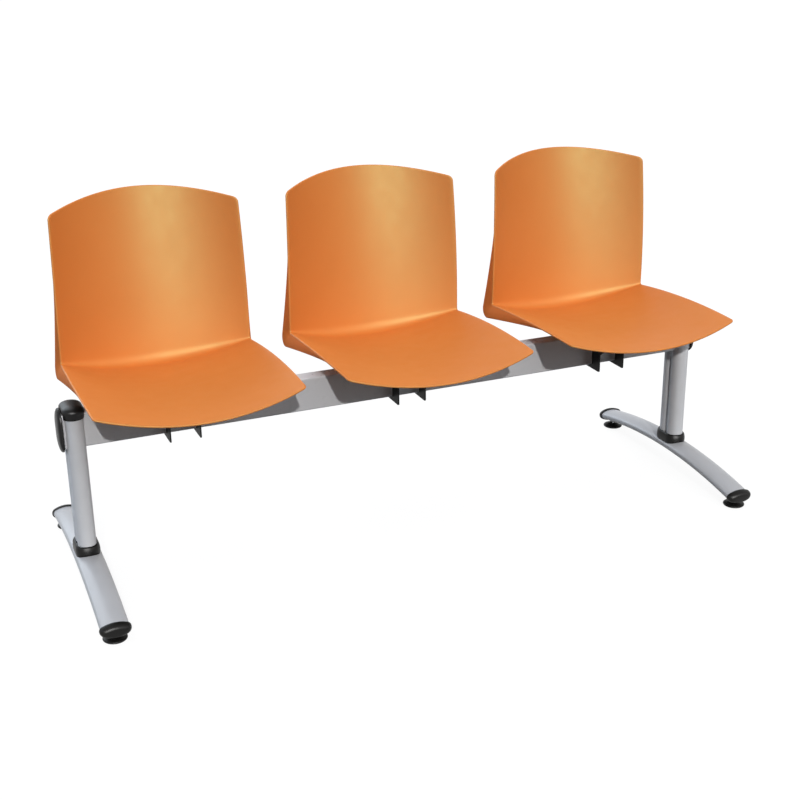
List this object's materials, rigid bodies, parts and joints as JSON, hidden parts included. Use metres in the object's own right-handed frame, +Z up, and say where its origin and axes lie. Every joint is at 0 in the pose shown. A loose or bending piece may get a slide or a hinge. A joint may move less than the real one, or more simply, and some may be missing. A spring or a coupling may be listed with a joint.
{
  "type": "waiting room chair",
  "caption": "Beam-mounted waiting room seating: one-piece moulded shells on steel brackets, a rectangular beam, oval posts and arched foot bars on levelling glides.",
  "frame": {"origin": "on the floor below the middle of the beam", "axes": "+X along the beam to the viewer's right, +Y to the back of the seats, +Z up; the seats face -Y"},
  "size_m": [1.644, 0.6326, 0.8278],
  "materials": {
    "shell_plastic": "fine matt grain",
    "beam_steel": "satin silver powder coat",
    "foot_steel": "satin silver powder coat",
    "post_aluminium": "satin anodised",
    "black_steel": "satin black powder coat",
    "black_plastic": "satin",
    "glide_plastic": "satin"
  },
  "bodies": {
    "bench": {"beam": "beam_steel", "beam_end_cap_left": "black_plastic", "foot_bar_left": "foot_steel", "post_collar_left": "black_plastic", "leg_post_left": "post_aluminium", "post_cap_left": "black_plastic", "foot_cap_front_left": "black_plastic", "foot_cap_rear_left": "black_plastic", "beam_end_cap_right": "black_plastic", "foot_bar_right": "foot_steel", "post_collar_right": "black_plastic", "leg_post_right": "post_aluminium", "post_cap_right": "black_plastic", "foot_cap_front_right": "black_plastic", "foot_cap_rear_right": "black_plastic", "seat_shell_left": "shell_plastic", "seat_bracket_left": "black_steel", "clamp_bar_left": "black_steel", "seat_shell_middle": "shell_plastic", "seat_bracket_middle": "black_steel", "clamp_bar_middle": "black_steel", "seat_shell_right": "shell_plastic", "seat_bracket_right": "black_steel", "clamp_bar_right": "black_steel"},
    "glide_front_left": {"glide_front_left": "glide_plastic"},
    "glide_rear_left": {"glide_rear_left": "glide_plastic"},
    "glide_front_right": {"glide_front_right": "glide_plastic"},
    "glide_rear_right": {"glide_rear_right": "glide_plastic"}
  },
  "joints": [
    {"name": "glide_front_left_levelling", "type": "slide", "parent": "bench", "child": "glide_front_left", "axis": [0, 0, 1], "range_m": [-0.01, 0.004]},
    {"name": "glide_rear_left_levelling", "type": "slide", "parent": "bench", "child": "glide_rear_left", "axis": [0, 0, 1], "range_m": [-0.01, 0.004]},
    {"name": "glide_front_right_levelling", "type": "slide", "parent": "bench", "child": "glide_front_right", "axis": [0, 0, 1], "range_m": [-0.01, 0.004]},
    {"name": "glide_rear_right_levelling", "type": "slide", "parent": "bench", "child": "glide_rear_right", "axis": [0, 0, 1], "range_m": [-0.01, 0.004]}
  ]
}
